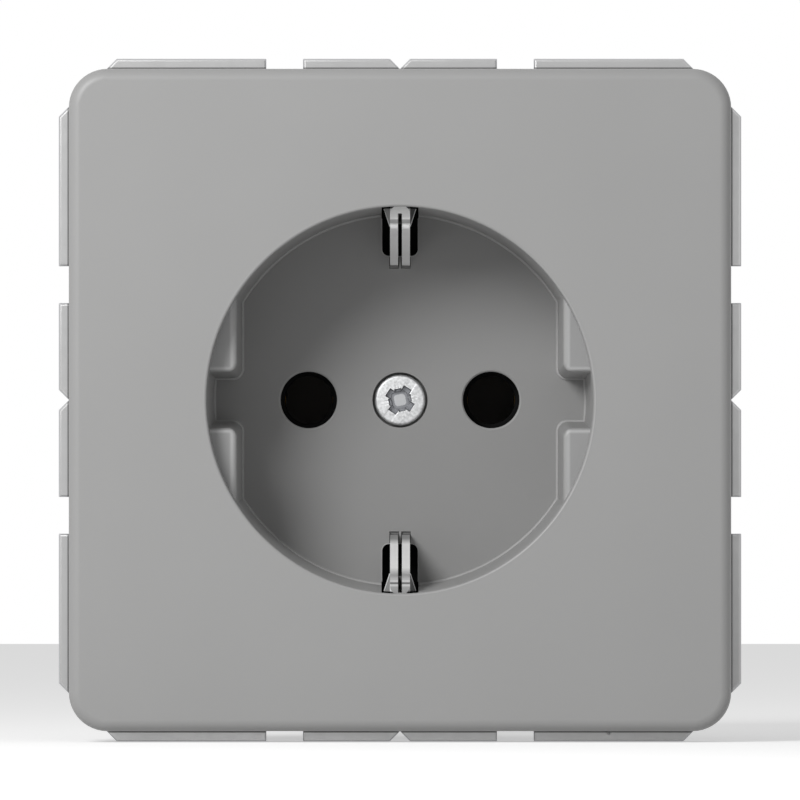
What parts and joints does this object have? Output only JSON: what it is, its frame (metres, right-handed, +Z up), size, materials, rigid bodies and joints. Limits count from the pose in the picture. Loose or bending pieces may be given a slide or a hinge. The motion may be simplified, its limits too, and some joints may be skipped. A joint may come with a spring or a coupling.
{
  "type": "type f wall socket",
  "caption": "Flush-mounted earthed wall socket: square cover with a round plug recess, side earth clips, steel support frame, spreading claws and a rear insert with push-in wire clamps.",
  "frame": {"origin": "on the socket's axis in the wall plane, at the back face of the support frame", "axes": "X to the right and Z up as the user sees it; Y into the wall"},
  "size_m": [0.0706, 0.0417, 0.0706],
  "materials": {
    "cover_plastic": "smooth satin",
    "zinc_steel": "zinc-plated sheet",
    "screw_steel": "bright zinc",
    "clip_metal": "bright tinned",
    "black_plastic": "moulded, matt",
    "contact_brass": "bright",
    "spring_steel": "bright",
    "button_plastic": "moulded"
  },
  "bodies": {
    "socket": {"cover": "cover_plastic", "cover_screw": "screw_steel", "support_frame": "zinc_steel", "earth_strap": "zinc_steel", "earth_clip_top": "clip_metal", "earth_clip_bottom": "clip_metal", "frame_rivet_lower_left": "zinc_steel", "frame_rivet_lower_right": "zinc_steel", "frame_rivet_upper_left": "zinc_steel", "frame_rivet_upper_right": "zinc_steel", "base_rivet_lower": "zinc_steel", "base_rivet_upper": "zinc_steel", "base_housing": "black_plastic", "rear_cap": "black_plastic", "cap_screw_left": "zinc_steel", "cap_screw_right": "zinc_steel", "pin_contact_left": "contact_brass", "pin_contact_right": "contact_brass", "clamp_spring_left": "spring_steel", "clamp_spring_right": "spring_steel", "clamp_spring_earth": "spring_steel", "earth_terminal": "contact_brass"},
    "claw_screw_left": {"claw_screw_left": "zinc_steel"},
    "claw_nut_left": {"claw_nut_left": "zinc_steel"},
    "claw_left": {"claw_left": "zinc_steel"},
    "claw_screw_right": {"claw_screw_right": "zinc_steel"},
    "claw_nut_right": {"claw_nut_right": "zinc_steel"},
    "claw_right": {"claw_right": "zinc_steel"},
    "release_button_left": {"release_button_left": "button_plastic"},
    "release_button_right": {"release_button_right": "button_plastic"},
    "release_button_earth": {"release_button_earth": "button_plastic"}
  },
  "joints": [
    {"name": "claw_nut_left_travel", "type": "slide", "parent": "socket", "child": "claw_nut_left", "axis": [0, -1, 0], "range_m": [0, 0.0048]},
    {"name": "claw_screw_left_turn", "type": "hinge", "parent": "socket", "child": "claw_screw_left", "pos_m": [-0.025, 0, 0], "axis": [0, 1, 0], "range_deg": [0, 2881]},
    {"name": "claw_left_spread", "type": "hinge", "parent": "claw_nut_left", "child": "claw_left", "pos_m": [-0.025, 0.0185, 0], "axis": [0, 0, -1], "range_deg": [0, 30.1]},
    {"name": "claw_nut_right_travel", "type": "slide", "parent": "socket", "child": "claw_nut_right", "axis": [0, -1, 0], "range_m": [0, 0.0048]},
    {"name": "claw_screw_right_turn", "type": "hinge", "parent": "socket", "child": "claw_screw_right", "pos_m": [0.025, 0, 0], "axis": [0, 1, 0], "range_deg": [0, 2881]},
    {"name": "claw_right_spread", "type": "hinge", "parent": "claw_nut_right", "child": "claw_right", "pos_m": [0.025, 0.0185, 0], "axis": [0, 0, 1], "range_deg": [0, 30.1]},
    {"name": "release_button_left_press", "type": "slide", "parent": "socket", "child": "release_button_left", "axis": [0, -1, 0], "range_m": [0, 0.0015], "stiffness_N_per_m": 200, "springref_m": -0.002},
    {"name": "release_button_right_press", "type": "slide", "parent": "socket", "child": "release_button_right", "axis": [0, -1, 0], "range_m": [0, 0.0015], "stiffness_N_per_m": 200, "springref_m": -0.002},
    {"name": "release_button_earth_press", "type": "slide", "parent": "socket", "child": "release_button_earth", "axis": [0, -1, 0], "range_m": [0, 0.0015], "stiffness_N_per_m": 200, "springref_m": -0.002}
  ],
  "couplings": [
    {"joint": "claw_screw_left_turn", "follows": "claw_nut_left_travel", "rad_per_m": 10472},
    {"joint": "claw_left_spread", "follows": "claw_nut_left_travel", "rad_per_m": 109.08},
    {"joint": "claw_screw_right_turn", "follows": "claw_nut_right_travel", "rad_per_m": 10472},
    {"joint": "claw_right_spread", "follows": "claw_nut_right_travel", "rad_per_m": 109.08}
  ]
}
